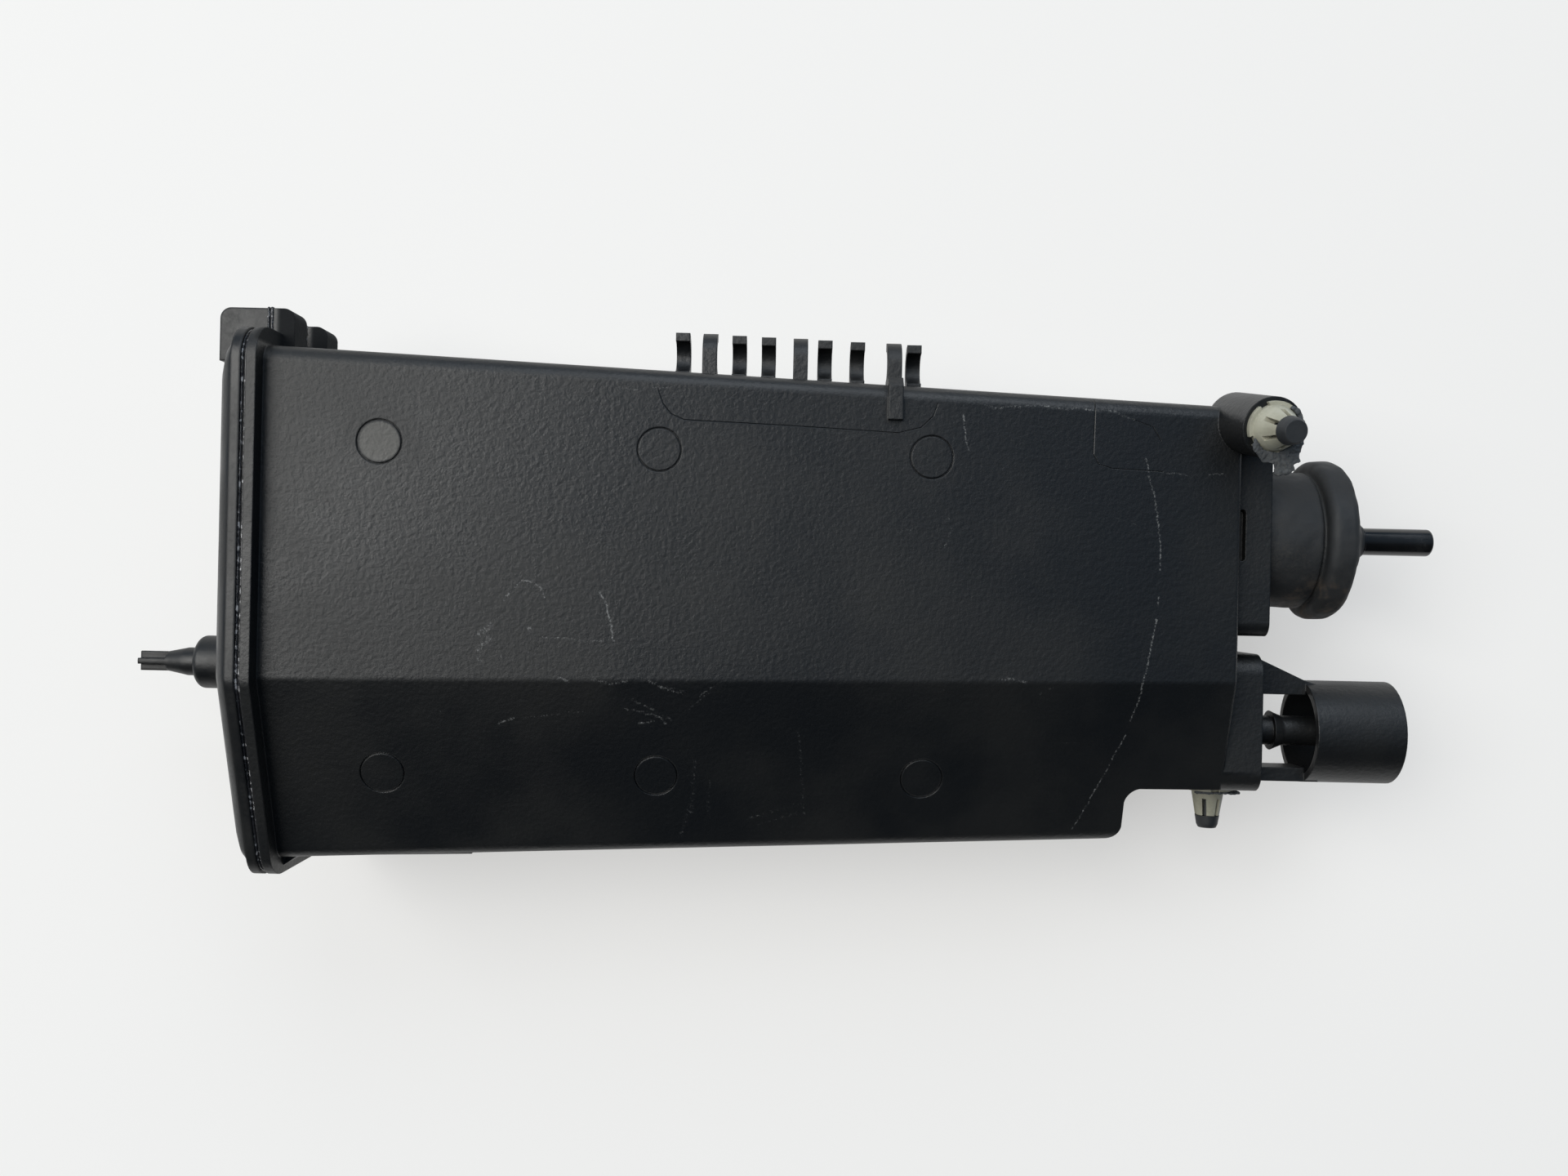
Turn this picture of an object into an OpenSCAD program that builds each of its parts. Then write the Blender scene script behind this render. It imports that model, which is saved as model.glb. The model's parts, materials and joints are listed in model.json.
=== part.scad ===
// Charcoal canister: a welded plastic housing lying on its back, with its charcoal beds inside.
// X runs from the end cover to the ports, Y across the front face, Z up from the surface below.

/* [Housing] */
// Length of the housing from the weld plane to the port end
housing_len = 266.6; // [230:0.1:320]
// Distance of the weld plane behind the origin
weld_back = 141.5; // [120:0.5:160]
// Depth from back face to front face at the weld plane
depth_weld = 83.5; // [74:0.5:100]
// Depth from back face to front face at the port end
depth_port = 70; // [67:0.5:74]
// Height of the upper side wall over the origin at the weld plane
upper_weld = 66.1; // [61:0.1:78]
// Height of the upper side wall over the origin at the port end
upper_port = 57.6; // [55:0.1:59.5]
// Distance of the lower side wall under the origin at the weld plane
lower_weld = 73.1; // [69:0.1:86]
// Distance of the lower side wall under the origin at the port end
lower_port = 64.5; // [61.5:0.1:67]
// Distance of the crease under the origin at the weld plane
crease_weld = 22.3; // [20.5:0.1:27]
// Distance of the crease under the origin at the port end
crease_port = 19; // [18.4:0.1:23]
// Fall of the sloped front face from the crease to the lower side wall, at the weld plane
slope_drop = 17.5; // [8:0.5:22]
// Radius of the long edges
edge_r = 4.5; // [3.5:0.1:6]
// Radius of the edges round the port end
end_r = 1.2; // [0.6:0.1:3]
// Thickness of the moulded walls
wall = 2.6; // [2:0.1:3.2]
// Length of the step in the lower side wall, back from the port end
step_len = 28; // [24:0.5:34]
// Distance of the stepped wall under the origin at the port end
step_y = 50; // [49.5:0.1:53]
// Radius of the step's two corners
step_r = 5; // [2:0.1:5.5]

/* [Face marks] */
// Diameter of the round moulding marks on the front face
mark_d = 11.2; // [6:0.1:14]
// Width and depth of the line round each mark
mark_line = 0.4; // [0.3:0.05:0.6]
// Distance of the first mark from the weld plane
mark_first = 33.5; // [25:0.5:40]
// Distance between marks along the housing
mark_pitch = 73.4; // [50:0.1:78]
// Height of the upper row of marks over the origin
mark_upper_y = 40.9; // [29:0.1:44.5]
// Distance of the lower row of marks under the origin
mark_lower_y = 47.6; // [38:0.1:51]

/* [Weld flange] */
// Distance that the flange stands proud of the walls
flange_proud = 4.5; // [3.6:0.1:6.5]
// Thickness of the flange on the housing
flange_t = 3.3; // [2.8:0.1:5]
// Radius of the flange's corners
flange_r = 9; // [7.5:0.1:10]
// Width of the groove at the weld line
weld_groove = 1.4; // [0.6:0.1:2]
// Depth of the groove at the weld line
weld_groove_deep = 0.9; // [0.4:0.1:1.5]
// Length of the gusset behind the flange's lower edge
gusset_len = 4; // [3:0.1:7]

/* [Ears] */
// Length of an ear on the end cover, out from the weld plane
ear_cover_len = 13.7; // [10:0.1:15]
// Length of an ear on the housing, in from the weld plane
ear_housing_len = 6.6; // [5.5:0.1:9]
// Height of the ears over the origin
ear_y = 77.6; // [75.5:0.1:88]
// Height of the front ear's face over the surface below
ear_z = 75; // [72:0.5:82]
// Distance from one ear to the next, front to back
ear_pitch = 25; // [20:0.5:30]
// Thickness of an ear, front to back
ear_t = 9; // [7:0.5:16]
// Radius of an ear's outer corners
ear_r = 3; // [1:0.1:3.4]

/* [End cover] */
// Thickness of the flange on the cover
cover_flange_t = 3.3; // [2.8:0.1:5]
// Height of the cover's crown over the weld plane
crown_h = 12.3; // [11:0.1:18]
// Step from the flange's edge in to the crown
crown_step = 2.5; // [1.5:0.1:3.5]
// Distance that the crown's round reaches in from its edge
crown_reach = 27; // [20:0.5:28]
// Diameter of the locating stud's collar
stud_collar_d = 15.6; // [13:0.1:20]
// Length of the locating stud's collar
stud_collar_len = 19.1; // [12:0.1:22]
// Radius of that collar's end
stud_collar_r = 2; // [0.5:0.1:3]
// Diameter of the locating stud's shank
stud_d = 8.3; // [7.5:0.1:10]
// Length of the straight shank
stud_len = 3.6; // [3:0.1:8]
// Length of the taper from the shank to the ribbed tip
stud_taper_len = 6; // [4:0.1:10]
// Diameter over the ribs of the tip
stud_tip_d = 5.8; // [4.5:0.1:7]
// Length of the ribbed tip
stud_tip_len = 8; // [5:0.1:12]
// Thickness of the tip's ribs
stud_rib = 1.7; // [1.2:0.1:2]
// Distance of the locating stud under the origin
stud_y = 21; // [15:0.1:23]

/* [Pipe clips] */
// Outer diameter of the pipe that the clips hold
pipe_d = 8.4; // [6:0.1:9]
// Thickness of a clip finger
clip_t = 2.3; // [1.6:0.1:3]
// Width of a clip finger along the pipe
clip_w = 4; // [3:0.1:5]
// Gap between the pipe and the side wall
clip_stand = 2; // [1:0.1:3]
// Height of the pipe over the surface below
clip_z = 65; // [56:0.5:66]
// Distance of the first set of clips from the weld plane
clip_first = 111.3; // [100:0.1:120]
// Distance between sets of clips
clip_pitch = 24; // [20:0.5:28]
// Extra distance before the last set of clips
clip_last_more = 0.9; // [0:0.1:2]
// Distance of the upper finger from the first lower finger of a set
clip_upper_at = 7.9; // [6.5:0.1:8.4]
// Growth of that distance from one set to the next
clip_upper_more = 1; // [0:0.1:1.2]
// Distance of the second lower finger from the first of a set
clip_second_at = 15.8; // [14.5:0.1:17]
// Length of the strap from the last upper finger over the front face
strap_len = 10; // [6:0.5:14]
// Thickness of that strap
strap_t = 1.6; // [1:0.1:2]

/* [Ports] */
// Height of the port axes over the surface below
port_z = 42; // [40:0.5:44]
// Thickness of the plinths on the port end
plinth_t = 10.4; // [8:0.1:13]
// Radius of the plinths' corners
plinth_r = 4; // [2:0.1:6]
// Height of the boot's axis over the origin
boot_y = 22.1; // [21:0.1:23.5]
// Width of the upper plinth
plinth_upper_w = 54; // [50:0.5:55]
// Depth of the upper plinth, front to back
plinth_upper_h = 45; // [43:0.5:47]
// Outer diameter of the spigot inside the boot
spigot_d = 33; // [30:0.5:34]
// Length of the spigot
spigot_len = 15; // [10:0.5:16]
// Bore of the spigot
spigot_bore = 24; // [18:0.5:26]
// Distance of the vent axis under the origin
vent_y = 34.4; // [33.4:0.1:35.4]
// Height of the lower plinth's upper edge, under the origin
plinth_lower_top = 11.4; // [10.4:0.1:12.2]
// Depth of the lower plinth, front to back
plinth_lower_h = 38; // [36:0.5:40]
// Outer diameter of the vent nipple
vent_d = 8.7; // [7.5:0.1:10]
// Bore of the vent nipple
vent_bore = 5.5; // [4:0.1:6]
// Length of the vent nipple
vent_len = 30; // [24:0.5:36]
// Outer diameter of the barb on the vent nipple
barb_d = 11.6; // [11:0.1:13]
// Length of the barb
barb_len = 3.4; // [2:0.1:5]
// Distance of the barb from the plinth
barb_at = 8.8; // [6:0.1:12]

/* [Vent guard] */
// Outer diameter of the guard tube
guard_d = 30; // [28:0.5:31]
// Wall of the guard tube
guard_wall = 2; // [1.5:0.1:3]
// Length of the guard tube
guard_len = 25.4; // [18:0.1:30]
// Gap between the plinth and the guard tube
guard_gap = 17.6; // [14:0.1:22]
// Thickness of the guard's struts
strut_t = 4; // [3:0.1:5]
// Width of the guard's struts, front to back
strut_w = 10; // [6:0.5:14]

/* [Rubber boot] */
// Outer diameter of the boot
boot_d = 40; // [38.5:0.1:42]
// Length of the straight part of the boot
boot_len = 16; // [15.5:0.1:20]
// Outer diameter of the boot's rim
rim_d = 46.6; // [43:0.1:50]
// Length of the boot's rim
rim_len = 9.4; // [7:0.1:12]
// Radius of the rim's edges
rim_r = 2.4; // [1:0.1:3]
// Width of the groove between the boot and its rim
boot_groove = 1; // [0.6:0.1:1.6]
// Length of the cone from the rim to the collar
boot_cone_len = 7.6; // [6:0.1:10]
// Outer diameter of the collar round the nipple
boot_collar_d = 11; // [10.6:0.1:14]
// Length of the collar round the nipple
boot_collar_len = 1; // [0.8:0.1:4]
// Thickness of the boot's end
boot_end_t = 3; // [2:0.1:4]

/* [Purge nipple] */
// Outer diameter of the nipple
nipple_d = 8; // [7:0.1:9]
// Bore of the nipple
nipple_bore = 5; // [3:0.1:6]
// Length of the nipple outside the boot
nipple_len = 21; // [14:0.5:30]
// Step from the nipple up to its root, which the boot grips
nipple_shoulder = 0.5; // [0.3:0.1:0.8]
// Length of that root that shows outside the boot
nipple_root_len = 0.6; // [0.5:0.1:2]
// Diameter of the nipple's flange inside the boot
nipple_flange_d = 15; // [13:0.1:18]
// Thickness of the nipple's flange
nipple_flange_t = 2; // [1.5:0.1:3]
// Radius of the nipple's rounded end
nipple_r = 1; // [0.5:0.1:1.4]

/* [Snap studs] */
// Outer diameter of the boss under the upper stud
boss_d = 16.6; // [15:0.1:18]
// Height of that boss over its foot
boss_h = 24; // [20:0.5:26]
// Height of the boss's foot over the surface below
boss_foot_z = 61.5; // [60:0.5:63]
// Length of the tapered root under that boss
boss_root = 11; // [6:0.5:14]
// Lean of the boss in degrees
boss_lean = 12; // [6:0.5:18]
// Direction of the lean, in degrees below X
boss_turn = 65; // [40:1:80]
// Bore in the boss and the plinth for a stud's shank
stud_bore = 8; // [7:0.1:8.5]
// Length of the upper stud's shank in its bore
upper_shank_len = 14; // [8:0.5:16]
// Diameter of the upper stud's flange
upper_flange_d = 14.4; // [13.6:0.1:15]
// Diameter of the upper collet at its flange
upper_collet_d = 12.3; // [11:0.1:13]
// Length of the upper collet
upper_collet_len = 8; // [6:0.1:10]
// Diameter of the upper pin's tip
upper_tip_d = 7.7; // [6.8:0.1:8.2]
// Length of the lower stud's shank in its bore
lower_shank_len = 2.4; // [1.5:0.1:2.8]
// Diameter of the lower stud's flange
lower_flange_d = 14.5; // [13:0.1:15.5]
// Diameter of the lower collet at its flange
lower_collet_d = 9.4; // [8.8:0.1:10.5]
// Length of the lower collet
lower_collet_len = 7.6; // [6:0.1:10]
// Diameter of the lower pin's tip
lower_tip_d = 7; // [6.2:0.1:7.4]
// Distance of the lower stud from the outer face of its plinth
lower_stud_in = 9; // [8:0.1:10]
// Thickness of a stud's flange
stud_flange_t = 1.6; // [1:0.1:2.5]
// Diameter of the hole through a collet
collet_bore = 4.4; // [3.6:0.1:4.8]
// Width of the slots in a collet
collet_slot = 1.2; // [0.8:0.1:1.6]
// Length of a pin's tip beyond its collet
tip_len = 3.6; // [2:0.1:5]
// Thickness of the torn washers
washer_t = 0.8; // [0.5:0.1:1.2]

/* [Charge] */
// Height of the partition between the chambers, under the origin
partition_y = 14.4; // [12.4:0.1:16.4]
// Clearance round the pieces of the charge
charge_gap = 0.5; // [0.3:0.1:1]
// Free depth between the port end and the charge
plenum = 6; // [4:0.1:9]
// Thickness of the fleece pads
fleece_t = 5; // [3:0.1:7]
// Thickness of the pressure plates
plate_t = 3; // [2:0.1:4]
// Distance of the pressure plates inside the weld plane
plate_in = 20; // [16:0.5:28]
// Diameter of the holes in the pressure plates
plate_hole_d = 5; // [3:0.1:6]
// Distance between those holes
plate_pitch = 10; // [9:0.5:14]
// Outer diameter of the springs
spring_d = 20; // [16:0.5:22]
// Diameter of the spring wire
spring_wire = 1.8; // [1.2:0.1:2.2]
// Number of turns in a spring
spring_turns = 5; // [4:1:6]
// Distance of the two upper springs from the mid-depth of the cover
spring_side = 19; // [16:0.5:21]
// Height of the springs' seats inside the cover
seat_h = 7; // [6:0.1:9]
// Length of the posts that centre the springs
post_len = 3; // [2:0.1:4]

/* [Hidden] */

// Clearance between pieces that only touch
fit_gap = 0.1;
// Steps that draw each corner of the housing's outline, the crease among them
corner_steps = [8, 8, 3, 8, 8];
// Angles that the rounded port end is drawn at
end_angles = [0, 15, 30, 45, 60, 75, 90];
// Angles that the cover's crown is drawn at, from its top to the flange
crown_angles = [90, 70, 52, 36, 22, 10, 0];
// Length that is longer than any piece, for cuts that run right through
past = 400;
// Depth that a joined feature is sunk into its wall
root = 1.2;
// Depth of the slot in the upper plinth
plinth_slot_deep = 2.5;
plinth_slot_len = 14.4;
plinth_slot_w = 1.8;
// Radius of the lower plinth's corners
plinth_lower_r = 6;
// Place of the boss's foot, out from the port end and in from the upper side wall
boss_out = 0.5;
boss_in = 3.4;
// Turn of the upper collet's slots
collet_turn = 30;
// Ledge along the lower side wall
ledge_proud = 1.4;
ledge_from = 16;
ledge_len = 38;
ledge_h = 34;
// Ribs that hold the charge off the port end
rib_t = 2;
rib_pitch = 15;
// Shift of the pressure plates' holes towards the back
plate_hole_back = 1;
// Sides of the spring wire, and rings in one turn
wire_sides = 6;
turn_rings = 14;

x_weld = -weld_back;
x_port = housing_len - weld_back;
x_plinth = x_port + plinth_t;
x_step = x_port - step_len;
x_guard = x_plinth + guard_gap;
x_crown = x_weld - crown_h;
x_seat = x_crown + wall + seat_h;
x_plate = x_weld + plate_in;
x_bed = x_plate + plate_t + fleece_t;
x_rib = x_port - wall - plenum;
x_bed_end = x_rib - fleece_t;
x_partition = x_plate - post_len;
x_collar = x_plinth + boot_len + rim_len + boot_cone_len;
x_nipple = x_collar + boot_collar_len;
x_lower_stud = x_plinth - lower_stud_in;

cover_z = flange_proud + depth_weld / 2;
crown_rise = crown_h - cover_flange_t;
pipe_r = pipe_d / 2;
clip_y = clip_stand + pipe_r;
spring_r = (spring_d - spring_wire) / 2;
post_d = spring_d - 2 * spring_wire - 4 * fit_gap;
upper_spring_y = (upper_weld - partition_y) / 2;
lower_spring_y = -(lower_weld + partition_y) / 2;
lower_spring_z = cover_z - slope_drop / 4;
// Fall of the front face along the housing, and of its sloped part across it, in degrees
face_fall = atan((flange_proud + depth_weld - depth_port) / housing_len);
slope = slope_drop / (lower_weld - crease_weld);
face_slope = atan(slope);
plinth_lower_y = -(step_y + root / 2);
nipple_root_r = nipple_d / 2 + nipple_shoulder;

$fn = 64;

// Value at x of a size that changes evenly from the weld plane to the port end
function mix(weld, port, x) = weld + (port - weld) * (x - x_weld) / housing_len;
function upper_y(x) = mix(upper_weld, upper_port, x);
function lower_y(x) = -mix(lower_weld, lower_port, x);
function crease_y(x) = -mix(crease_weld, crease_port, x);
function back_z(x) = mix(flange_proud, 0, x);
function front_z(x) = mix(flange_proud + depth_weld, depth_port, x);
function lower_front_z(x) = front_z(x) - slope * (crease_y(x) - lower_y(x));

// Outline of the housing at x, as points across and up
function outline(x) = [
    [upper_y(x), back_z(x)],
    [upper_y(x), front_z(x)],
    [crease_y(x), front_z(x)],
    [lower_y(x), lower_front_z(x)],
    [lower_y(x), back_z(x)]
];

// Round of radius r at corner b, between corners a and c, after each side moves out by grow
function corner_arc(a, b, c, grow, r, steps) =
    let (u = (a - b) / norm(a - b),
        v = (c - b) / norm(c - b),
        inward = (u + v) / norm(u + v),
        half = acos(u * v) / 2,
        centre = b + inward * (r - grow) / sin(half),
        middle = atan2(-inward.y, -inward.x))
    [for (k = [0 : steps])
        let (angle = middle + (90 - half) * (2 * k / steps - 1))
        centre + r * [cos(angle), sin(angle)]];

// Outline of the housing at x with round corners, grown or shrunk
function rounded(x, grow, r) =
    let (p = outline(x), n = len(p))
    [for (i = [0 : n - 1])
        each corner_arc(p[(i + n - 1) % n], p[i], p[(i + 1) % n], grow, r, corner_steps[i])];

// Closed skin over a row of rings, each with its points anticlockwise about the way along the row
module skin(rings) {
    n = len(rings[0]);
    last = len(rings) - 1;
    sides = [for (i = [0 : last - 1], j = [0 : n - 1])
        let (k = (j + 1) % n, a = i * n, b = a + n)
        [a + j, b + j, b + k, a + k]];
    start = [for (j = [0 : n - 1]) j];
    end = [for (j = [n - 1 : -1 : 0]) last * n + j];
    polyhedron([for (ring = rings) each ring], concat(sides, [start, end]));
}

// Stands a flat shape, drawn across and up, at x and gives it a thickness along the housing
module along_x(x, thickness) {
    translate([x, 0, 0]) rotate([90, 0, 90]) linear_extrude(thickness) children();
}

// Housing outline at x, grown or shrunk, with round corners
module rounded_outline(x, grow, r) {
    polygon(rounded(x, grow, r));
}

// Ring of points at x, for a rounded outline that is drawn for the place x_drawn
function ring(x, x_drawn, grow, r) = [for (p = rounded(x_drawn, grow, r)) [x, p.x, p.y]];

// Tapered body between two places, with its own round at the end towards the ports
module tapered_body(x_from, x_to, grow, r, r_end) {
    skin(concat(
        [ring(x_from, x_from, grow, r)],
        [for (a = end_angles)
            let (inset = r_end * (1 - cos(a)), x = x_to - r_end * (1 - sin(a)))
            ring(x, x, grow - inset, r)]
    ));
}

// Block along X with rounded long edges
module rounded_block(x_from, x_to, y_from, y_to, z_from, z_to, r) {
    along_x(x_from, x_to - x_from) {
        translate([y_from + r, z_from]) square([y_to - y_from - 2 * r, z_to - z_from]);
        translate([y_from, z_from + r]) square([y_to - y_from, z_to - z_from - 2 * r]);
        for (y = [y_from + r, y_to - r], z = [z_from + r, z_to - r])
            translate([y, z]) circle(r);
    }
}

// Round shape along X at a place across and up
module rod_x(x, y, z, length, d, d_end) {
    translate([x, y, z]) rotate([0, 90, 0]) cylinder(h = length, d1 = d, d2 = d_end);
}

// Corner of a square that a round of this radius leaves over; the round crosses the sides at a small angle
module spandrel(r) {
    difference() {
        square(r);
        translate([r, r]) circle(r + fit_gap);
    }
}

// Plan of what the step takes off the lower corner of the port end
module step_plan() {
    difference() {
        translate([x_step, -step_y - past]) square(past);
        translate([x_step, -step_y]) mirror([0, 1]) spandrel(step_r);
    }
    translate([x_step, lower_y(x_step)]) mirror([1, 0]) spandrel(step_r);
    translate([x_step - step_r, lower_y(x_step) - past]) square([past, past]);
}

module port_step() {
    translate([0, 0, -root]) linear_extrude(past) step_plan();
}

// Line round each moulding mark, square to the face that carries it
module mark_ring() {
    difference() {
        translate([0, 0, -mark_line]) cylinder(h = 2 * mark_line, d = mark_d + 2 * mark_line);
        translate([0, 0, -2 * mark_line]) cylinder(h = 4 * mark_line, d = mark_d);
    }
}

module face_marks() {
    for (i = [0 : 2]) {
        x = x_weld + mark_first + i * mark_pitch;
        fall = slope * (mark_lower_y + crease_y(x));
        translate([x, mark_upper_y, front_z(x)]) rotate([0, face_fall, 0]) mark_ring();
        translate([x, -mark_lower_y, front_z(x) - fall])
            rotate([0, face_fall, 0]) rotate([face_slope, 0, 0]) mark_ring();
    }
}

// Flange of one half: a plate with a shallow groove at the weld plane
module weld_flange(x_from, x_to) {
    neck = weld_groove / 2;
    x_low = x_from == x_weld ? x_weld + neck : x_from;
    x_high = x_to == x_weld ? x_weld - neck : x_to;
    along_x(x_low, x_high - x_low) rounded_outline(x_weld, flange_proud, flange_r);
    along_x(x_from, x_to - x_from)
        rounded_outline(x_weld, flange_proud - weld_groove_deep, flange_r - weld_groove_deep);
}

// Pair of ears that stand on the flange, drawn from above and cut at the weld plane
module ears(x_from, x_to) {
    foot_y = upper_weld - ear_r;
    for (i = [0, 1])
        translate([0, 0, ear_z - i * ear_pitch - ear_t]) linear_extrude(ear_t) {
            translate([x_from, foot_y]) square([x_to - x_from, ear_y - ear_r - foot_y]);
            near_x = x_to == x_weld ? x_from + ear_r : x_from;
            far_x = x_to == x_weld ? x_to : x_to - ear_r;
            translate([near_x, foot_y]) square([far_x - near_x, ear_y - foot_y]);
            corner_x = x_to == x_weld ? near_x : far_x;
            translate([corner_x, ear_y - ear_r]) circle(ear_r);
        }
}

// Half-round seat of a clip finger; the upper fingers are the same shape turned over
module clip_seat() {
    difference() {
        union() {
            translate([-root, -pipe_r - clip_t]) square([root + clip_y, pipe_r + clip_t]);
            intersection() {
                translate([clip_y, 0]) circle(pipe_r + clip_t);
                translate([clip_y, -2 * pipe_d]) square(2 * pipe_d);
            }
        }
        translate([clip_y, 0]) circle(pipe_r);
    }
}

module clip_finger(x, upper) {
    along_x(x - clip_w / 2, clip_w)
        translate([upper_y(x), clip_z]) mirror([0, upper ? 1 : 0]) clip_seat();
}

// Strap that carries the last upper finger over the edge on to the front face
module clip_strap(x) {
    y = upper_y(x);
    z = front_z(x);
    along_x(x - clip_w / 2, clip_w) polygon([
        [y + strap_t, clip_z + pipe_r],
        [y + strap_t, z + strap_t - edge_r / 2],
        [y + strap_t - edge_r / 2, z + strap_t],
        [y - strap_len, z + strap_t],
        [y - strap_len, z - root],
        [y - root, z - root],
        [y - root, clip_z + pipe_r]
    ]);
}

// Places of a set's first lower finger and of its upper finger
function clip_x(i) = x_weld + clip_first + i * clip_pitch + (i == 2 ? clip_last_more : 0);
function clip_upper_x(i) = clip_x(i) + clip_upper_at + i * clip_upper_more;

module pipe_clips() {
    for (i = [0 : 2]) {
        clip_finger(clip_x(i), false);
        clip_finger(clip_upper_x(i), true);
        clip_finger(clip_x(i) + clip_second_at, false);
    }
    clip_strap(clip_upper_x(2));
}

// Places a shape at the foot of the leaning boss, with Z along its axis
module at_upper_stud() {
    translate([x_port + boss_out, upper_port - boss_in, boss_foot_z])
        rotate([0, boss_lean, -boss_turn]) children();
}

// Places a shape at the seat of the lower stud, with Z pointing away from it
module at_lower_stud() {
    translate([x_lower_stud, plinth_lower_y, port_z]) rotate([90, 0, 0]) children();
}

module plinths() {
    rounded_block(x_port - root - edge_r, x_plinth, boot_y - plinth_upper_w / 2 - root,
        boot_y + plinth_upper_w / 2 - root, port_z - plinth_upper_h / 2, port_z + plinth_upper_h / 2, plinth_r);
    rounded_block(x_lower_stud - lower_flange_d / 2 - root, x_plinth, plinth_lower_y, -plinth_lower_top,
        port_z - plinth_lower_h / 2, port_z + plinth_lower_h / 2, plinth_lower_r);
}

// Tube round the vent nipple, on a gusset above and a strut below
module vent_guard() {
    edge_y = guard_d / 2;
    difference() {
        union() {
            rod_x(x_guard, -vent_y, port_z, guard_len, guard_d, guard_d);
            translate([0, -vent_y, port_z - strut_w / 2]) linear_extrude(strut_w) {
                polygon([
                    [x_plinth - root, vent_y - plinth_lower_top],
                    [x_plinth, vent_y - plinth_lower_top],
                    [x_guard, edge_y],
                    [x_guard + strut_t, edge_y - root],
                    [x_guard + strut_t, edge_y - strut_t],
                    [x_plinth - root, edge_y - strut_t]
                ]);
                translate([x_plinth - root, -edge_y + root / 2])
                    square([guard_gap + strut_t + root, strut_t]);
            }
        }
        rod_x(x_guard, -vent_y, port_z, past, guard_d - 2 * guard_wall, guard_d - 2 * guard_wall);
    }
}

module vent_nipple() {
    rod_x(x_plinth - root, -vent_y, port_z, vent_len + root, vent_d, vent_d);
    rod_x(x_plinth + barb_at, -vent_y, port_z, barb_len, barb_d, vent_d);
}

// Gusset between the flange's lower edge and the lower side wall
module lower_gusset() {
    z_from = port_z - ledge_h / 2;
    x_to = x_weld + flange_t + gusset_len;
    translate([0, 0, z_from]) linear_extrude(lower_front_z(x_weld) - edge_r - z_from) polygon([
        [x_weld + flange_t - root, -lower_weld - flange_proud + root],
        [x_to, lower_y(x_to)],
        [x_to, -lower_weld + wall],
        [x_weld + flange_t - root, -lower_weld + wall]
    ]);
}

// Space inside the housing, less the partition, the step and the ribs at the port end
module chambers() {
    difference() {
        tapered_body(x_weld - root, x_port - wall, -wall, edge_r - wall + root, end_r);
        translate([x_partition, -partition_y - wall / 2, -root]) cube([past, wall, past]);
        step_room(0);
        for (y = [-vent_y - rib_pitch : rib_pitch : upper_port])
            translate([x_rib, y - rib_t / 2, -root]) cube([past, rib_t, past]);
    }
}

module housing() {
    color("#2b2c2e") difference() {
        union() {
            difference() {
                tapered_body(x_weld, x_port, 0, edge_r, end_r);
                port_step();
                face_marks();
            }
            weld_flange(x_weld, x_weld + flange_t);
            intersection() {
                ears(x_weld, x_weld + ear_housing_len);
                translate([x_weld, 0, 0]) cube(past);
            }
            lower_gusset();
            translate([0, 0, port_z - ledge_h / 2]) linear_extrude(ledge_h) polygon([
                [x_weld + ledge_from, lower_y(x_weld + ledge_from) - ledge_proud],
                [x_weld + ledge_from + ledge_len, lower_y(x_weld + ledge_from + ledge_len) - ledge_proud],
                [x_weld + ledge_from + ledge_len, lower_y(x_weld + ledge_from + ledge_len) + root],
                [x_weld + ledge_from, lower_y(x_weld + ledge_from) + root]
            ]);
            pipe_clips();
            plinths();
            rod_x(x_plinth - root, boot_y, port_z, spigot_len + root, spigot_d, spigot_d);
            at_upper_stud() {
                cylinder(h = boss_h, d = boss_d);
                translate([0, 0, -boss_root]) cylinder(h = boss_root, d1 = boss_d / 2, d2 = boss_d);
            }
            vent_guard();
            vent_nipple();
        }
        chambers();
        rod_x(x_rib, boot_y, port_z, past, spigot_bore, spigot_bore);
        rod_x(x_port - wall - root, -vent_y, port_z, past, vent_bore, vent_bore);
        at_upper_stud() translate([0, 0, boss_h - upper_shank_len - fit_gap])
            cylinder(h = past, d = stud_bore);
        at_lower_stud() translate([0, 0, -lower_shank_len - fit_gap]) cylinder(h = past, d = stud_bore);
        translate([x_port + edge_r / 2, boot_y, port_z + plinth_upper_h / 2 - plinth_slot_deep])
            linear_extrude(past) for (side = [-1, 1])
                translate([0, side * (plinth_slot_len - plinth_slot_w) / 2]) circle(d = plinth_slot_w);
        translate([x_port + edge_r / 2 - plinth_slot_w / 2, boot_y - (plinth_slot_len - plinth_slot_w) / 2,
            port_z + plinth_upper_h / 2 - plinth_slot_deep])
            cube([plinth_slot_w, plinth_slot_len - plinth_slot_w, past]);
    }
}

// Ring of the cover's crown at an angle of its round, or of the space inside it, one wall smaller
function crown_ring(a, inset) =
    let (rise = crown_rise * sin(a) - inset,
        grow = flange_proud - crown_step - crown_reach * (1 - cos(a)) - inset,
        x = x_weld - cover_flange_t - rise)
    inset > 0 ? ring(x, x_weld, min(grow, -wall), edge_r) : ring(x, x_weld, grow, flange_r - crown_step);

// Crown that follows the flange's outline and rounds over to a flat top
module crown() {
    skin(concat(
        [for (a = crown_angles) crown_ring(a, 0)],
        [ring(x_weld - cover_flange_t + root, x_weld, flange_proud - crown_step, flange_r - crown_step)]
    ));
}

// Space inside the cover, through its flange
module cover_room() {
    skin(concat(
        [for (a = crown_angles) crown_ring(a, wall)],
        [ring(x_weld + root, x_weld, -wall, edge_r)]
    ));
}

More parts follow.
